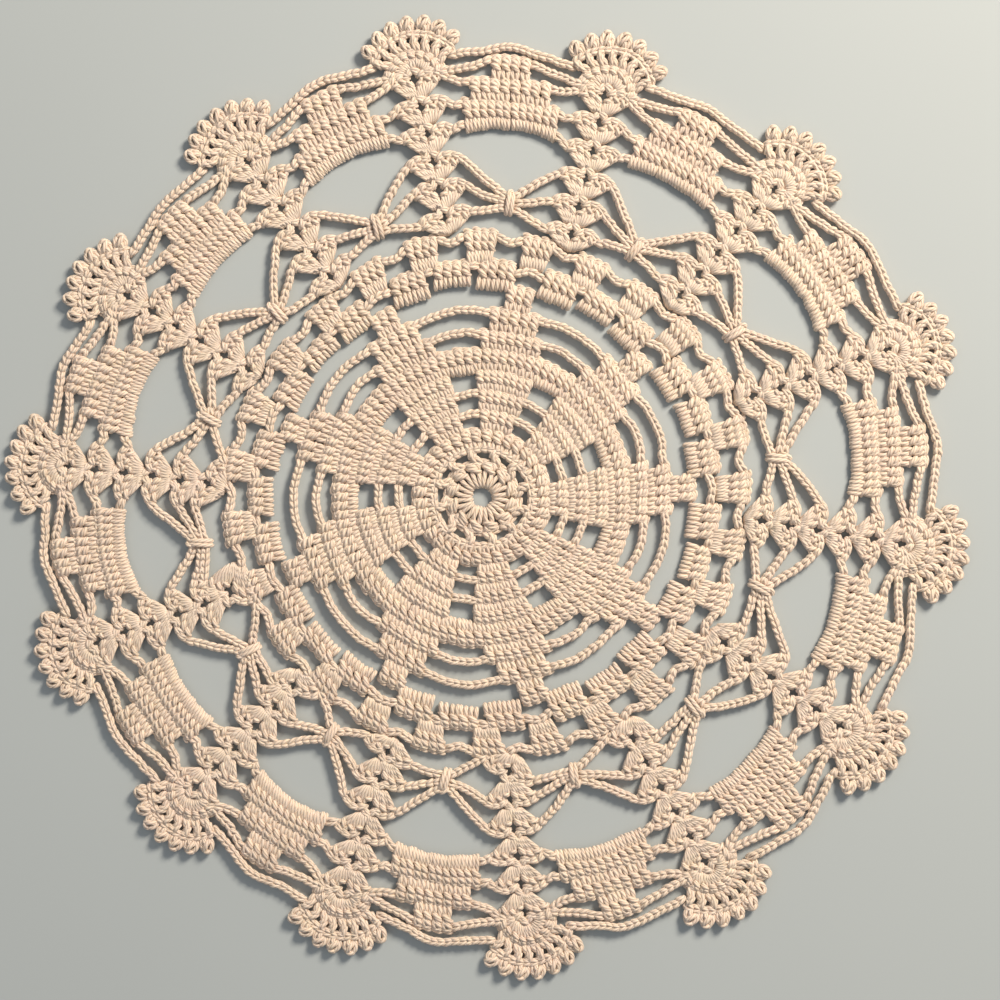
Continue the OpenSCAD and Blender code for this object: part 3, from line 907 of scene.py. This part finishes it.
def work_piece(node, rows, patterns, yarn):
    """Works the stitches of one round in yarn, in place of its solids."""
    work = Work()
    rows(work)
    seed = list(PIECES).index(node)
    piece = bpy.data.objects.new(node + "_yarn", patch_mesh(node + "_yarn", work, seed))
    bpy.context.scene.collection.objects.link(piece)
    modifier = piece.modifiers.new("Stitches", "NODES")
    tree = stitch_tree()
    modifier.node_group = tree
    sockets = {s.name: s.identifier for s in tree.interface.items_tree if s.in_out == "INPUT"}
    values = {"Stray": yarn.stray, "Stray_scale": 1 / yarn.stray_size, "Lie": yarn.lie,
              "Fullness": yarn.fullness, "Sides": yarn.sides, "Steps": yarn.steps,
              "Seed": yarn.seed, "Yarn": yarn_material(yarn)}
    for name, value in {**patterns, **values}.items():
        modifier[sockets[name]] = value
    graph = bpy.context.evaluated_depsgraph_get()
    worked = bpy.data.meshes.new_from_object(piece.evaluated_get(graph),
                                             preserve_all_data_layers=True, depsgraph=graph)
    piece.modifiers.remove(modifier)
    points = piece.data
    piece.data = worked
    worked.name = piece.name
    bpy.data.meshes.remove(points)
    if not worked.polygons:
        raise RuntimeError(f"{piece.name} came out empty")
    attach(piece, "root")
    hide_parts(node)


def work_pieces(context, names):
    """Works some rounds; the patterns of strands are needed only while they are made."""
    patterns = wind_patterns()
    for name in names:
        work_piece(name, PIECES[name], patterns, context.scene.doily_yarn)
    for pattern in patterns.values():
        bpy.data.meshes.remove(pattern.data)


PIECES = {
    "centre_round": centre_round,
    "mesh_round": mesh_round,
    "mesh_chain": mesh_chain,
    "inner_round": inner_round,
    "petal_round_4": petal_round(4),
    "petal_round_5": petal_round(5),
    "petal_round_6": petal_round(6),
    "joined_round": joined_round,
    "petal_round_8": petal_round(8),
    "petal_round_9": petal_round(9),
    "petal_tips": petal_round(10),
    "window_chains": window_chains,
    "star_chains_8": star_chains_8,
    "star_chains_9": star_chains_9,
    "band_round_11": band_round_11,
    "band_chains_11": band_chains_11,
    "band_round_12": band_round_12,
    "band_chains_12": band_chains_12,
    "shell_round_13": shell_round(0),
    "shell_round_14": shell_round(1),
    "shell_round_15": shell_round(2),
    "shell_round_16": shell_round(3),
    "shell_round_17": shell_round(4),
    "shell_round_18": shell_round(5),
    "tie_chains_13": tie_chain(0),
    "tie_chains_14": tie_chain(1),
    "tie_chains_15": tie_chain(2),
    "ties": ties,
    "arch_chains_16": arch_chain(3, ARCH_R[0], ARCH_HALF[0], -0.4),
    "arch_round_17": arch_round(0),
    "arch_chains_17": arch_chain(4, ARCH_R[1] - 1, ARCH_HALF[0], 0.8),
    "arch_round_18": arch_round(1),
    "arch_chains_18": arch_chain(5, ARCH_R[2] - 1, ARCH_HALF[1], 0.5),
    "arch_round_19": arch_round(2),
    "arch_chains_19": arch_chains_19,
    "fan_round_19": fan_round_19,
    "fan_mesh_20": fan_mesh_20,
    "fan_chain_20": fan_chain_20,
    "edge_chains_20": edge_chains_20,
    "picots": picots,
}

# ---- Settings ----


class DoilyYarn(bpy.types.PropertyGroup):
    """The yarn and how it lies."""

    cream: bpy.props.FloatVectorProperty(
        name="Cream", description="Main colour of the cotton", subtype="COLOR", size=4,
        min=0, max=1, default=(0.81, 0.68, 0.555, 1.0))
    blush: bpy.props.FloatVectorProperty(
        name="Blush", description="Pinker colour that the cotton drifts to", subtype="COLOR",
        size=4, min=0, max=1, default=(0.80, 0.625, 0.54, 1.0))
    straw: bpy.props.FloatVectorProperty(
        name="Straw", description="Yellower colour in small patches", subtype="COLOR", size=4,
        min=0, max=1, default=(0.82, 0.68, 0.50, 1.0))
    # Colour of the painted shade in the grooves between the plies
    groove_shade: bpy.props.FloatVectorProperty(
        name="Groove", description="Colour between the plies", subtype="COLOR", size=4,
        min=0, max=1, default=(0.36, 0.24, 0.17, 1.0))
    ply_length: bpy.props.FloatProperty(
        name="Twist length", description="Length of one turn of the twist", default=0.0075,
        min=0.001, max=0.02, unit="LENGTH", subtype="DISTANCE")
    plies: bpy.props.IntProperty(
        name="Plies", description="Plies that the yarn is twisted from", default=4, min=2, max=8)
    fullness: bpy.props.FloatProperty(
        name="Fullness", description="How thick the strands are, as a share of the plan",
        default=1.03, min=0.5, max=1.5, subtype="FACTOR")
    stray: bpy.props.FloatProperty(
        name="Stray", description="How far a strand may lie from its place", default=0.00035,
        min=0, max=0.002, unit="LENGTH", subtype="DISTANCE")
    stray_size: bpy.props.FloatProperty(
        name="Stray size", description="Distance over which the stray changes", default=0.003,
        min=0.001, max=0.05, unit="LENGTH", subtype="DISTANCE")
    lie: bpy.props.FloatProperty(
        name="Lie", description="How high the cloth stands off the floor in places",
        default=0.0006, min=0, max=0.003, unit="LENGTH", subtype="DISTANCE")
    sides: bpy.props.IntProperty(
        name="Sides", description="Sides of a strand", default=5, min=4, max=10)
    steps: bpy.props.IntProperty(
        name="Steps", description="Steps of a strand between two of its points", default=2,
        min=1, max=4)
    seed: bpy.props.IntProperty(name="Seed", description="Seed of the stray", default=4)


class DoilyStage(bpy.types.PropertyGroup):
    """The floor, the lights and the camera."""

    floor_colour: bpy.props.FloatVectorProperty(
        name="Floor", description="Colour of the floor", subtype="COLOR", size=4, min=0, max=1,
        default=(0.44, 0.48, 0.49, 1.0))
    camera_height: bpy.props.FloatProperty(
        name="Camera height", description="Height of the camera over the floor", default=0.65,
        min=0.2, max=3, unit="LENGTH", subtype="DISTANCE")
    view_width: bpy.props.FloatProperty(
        name="View width", description="Width of floor that the camera sees", default=0.311,
        min=0.1, max=2, unit="LENGTH", subtype="DISTANCE")
    key_power: bpy.props.FloatProperty(
        name="Key light", description="Power of the main light", default=20.0, min=0,
        unit="POWER")
    fill_power: bpy.props.FloatProperty(
        name="Fill light", description="Power of the light from the other side", default=1.0,
        min=0, unit="POWER")
    sky: bpy.props.FloatProperty(
        name="Sky", description="Strength of the even light all round", default=0.34, min=0,
        max=5)


# ---- Operators ----


class DOILY_OT_star(bpy.types.Operator):
    """Work the rounds of the centre star."""

    bl_idname = "doily.star"
    bl_label = "Star"

    def execute(self, context):
        work_pieces(context, ["centre_round", "mesh_round", "inner_round", "petal_round_4",
                              "petal_round_5", "petal_round_6", "joined_round", "petal_round_8",
                              "petal_round_9", "petal_tips"])
        return {"FINISHED"}


class DOILY_OT_star_chains(bpy.types.Operator):
    """Work the chains between the petals of the star."""

    bl_idname = "doily.star_chains"
    bl_label = "Star chains"

    def execute(self, context):
        work_pieces(context, ["mesh_chain", "window_chains", "star_chains_8", "star_chains_9"])
        return {"FINISHED"}


class DOILY_OT_band(bpy.types.Operator):
    """Work the two rounds of blocks outside the star, and their chains."""

    bl_idname = "doily.band"
    bl_label = "Band"

    def execute(self, context):
        work_pieces(context, ["band_round_11", "band_chains_11", "band_round_12",
                              "band_chains_12"])
        return {"FINISHED"}


class DOILY_OT_shells(bpy.types.Operator):
    """Work the columns of shells."""

    bl_idname = "doily.shells"
    bl_label = "Shells"

    def execute(self, context):
        work_pieces(context, [f"shell_round_{13 + row}" for row in range(SHELLS)])
        return {"FINISHED"}


class DOILY_OT_ties(bpy.types.Operator):
    """Work the chains between the columns, and the stitches that gather them."""

    bl_idname = "doily.ties"
    bl_label = "Ties"

    def execute(self, context):
        work_pieces(context, ["tie_chains_13", "tie_chains_14", "tie_chains_15", "ties"])
        return {"FINISHED"}


class DOILY_OT_arches(bpy.types.Operator):
    """Work the arches and the chains that hold them to the columns."""

    bl_idname = "doily.arches"
    bl_label = "Arches"

    def execute(self, context):
        work_pieces(context, ["arch_chains_16", "arch_round_17", "arch_chains_17",
                              "arch_round_18", "arch_chains_18", "arch_round_19",
                              "arch_chains_19"])
        return {"FINISHED"}


class DOILY_OT_edge(bpy.types.Operator):
    """Work the scalloped edge: its fans, their mesh and chain, and the picots."""

    bl_idname = "doily.edge"
    bl_label = "Edge"

    def execute(self, context):
        work_pieces(context, ["fan_round_19", "fan_mesh_20", "fan_chain_20", "edge_chains_20",
                              "picots"])
        return {"FINISHED"}


def area_light(name, target, power, place, size, colour):
    """A square light that faces the target."""
    light = bpy.data.lights.new(name, "AREA")
    light.size = size
    light.energy = power
    light.color = colour
    lamp = bpy.data.objects.new(name, light)
    lamp.location = place
    lamp.rotation_euler = (target - lamp.location).to_track_quat("-Z", "Y").to_euler()
    bpy.context.scene.collection.objects.link(lamp)


class DOILY_OT_stage(bpy.types.Operator):
    """Set up the floor, the lights and the camera."""

    bl_idname = "doily.stage"
    bl_label = "Stage"

    def execute(self, context):
        stage = context.scene.doily_stage
        mesh = bpy.data.meshes.new("floor")
        corners = [(x * FLOOR_REACH, y * FLOOR_REACH, 0)
                   for x, y in ((-1, -1), (1, -1), (1, 1), (-1, 1))]
        mesh.from_pydata(corners, [], [(0, 1, 2, 3)])
        floor = bpy.data.objects.new("floor", mesh)
        mesh.materials.append(floor_material(stage))
        context.scene.collection.objects.link(floor)

        low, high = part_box("centre_round")
        middle = (low + high) / 2
        area_light("key", middle, stage.key_power, **KEY_LIGHT)
        area_light("fill", middle, stage.fill_power, **FILL_LIGHT)

        world = bpy.data.worlds.new("studio")
        world.use_nodes = True
        background = world.node_tree.nodes["Background"]
        background.inputs["Color"].default_value = SKY_COLOUR
        background.inputs["Strength"].default_value = stage.sky
        context.scene.world = world
        context.scene.view_settings.view_transform = "Standard"

        camera = bpy.data.cameras.new("camera")
        camera.sensor_width = 36
        camera.lens = camera.sensor_width * stage.camera_height / stage.view_width
        eye = bpy.data.objects.new("camera", camera)
        eye.location = (*VIEW_MIDDLE, stage.camera_height)
        context.scene.collection.objects.link(eye)
        context.scene.camera = eye
        return {"FINISHED"}


class DOILY_PT_panel(bpy.types.Panel):
    """Lists the steps of the doily and its settings."""

    bl_idname = "DOILY_PT_panel"
    bl_label = "Doily"
    bl_space_type = "VIEW_3D"
    bl_region_type = "UI"
    bl_category = "Doily"

    def draw(self, context):
        column = self.layout.column()
        for operator in OPERATORS:
            column.operator(operator.bl_idname)
        for group in (context.scene.doily_yarn, context.scene.doily_stage):
            box = self.layout.box()
            for name in group.__annotations__:
                box.prop(group, name)


OPERATORS = (DOILY_OT_stage, DOILY_OT_star, DOILY_OT_star_chains, DOILY_OT_band,
             DOILY_OT_shells, DOILY_OT_ties, DOILY_OT_arches, DOILY_OT_edge)
CLASSES = (DoilyYarn, DoilyStage) + OPERATORS + (DOILY_PT_panel,)


def register():
    for cls in CLASSES:
        bpy.utils.register_class(cls)
    bpy.types.Scene.doily_yarn = bpy.props.PointerProperty(type=DoilyYarn)
    bpy.types.Scene.doily_stage = bpy.props.PointerProperty(type=DoilyStage)


def unregister():
    del bpy.types.Scene.doily_stage
    del bpy.types.Scene.doily_yarn
    for cls in reversed(CLASSES):
        bpy.utils.unregister_class(cls)


def main():
    register()
    bpy.ops.doily.stage()
    bpy.ops.doily.star()
    bpy.ops.doily.star_chains()
    bpy.ops.doily.band()
    bpy.ops.doily.shells()
    bpy.ops.doily.ties()
    bpy.ops.doily.arches()
    bpy.ops.doily.edge()


if __name__ == "__main__":
    main()
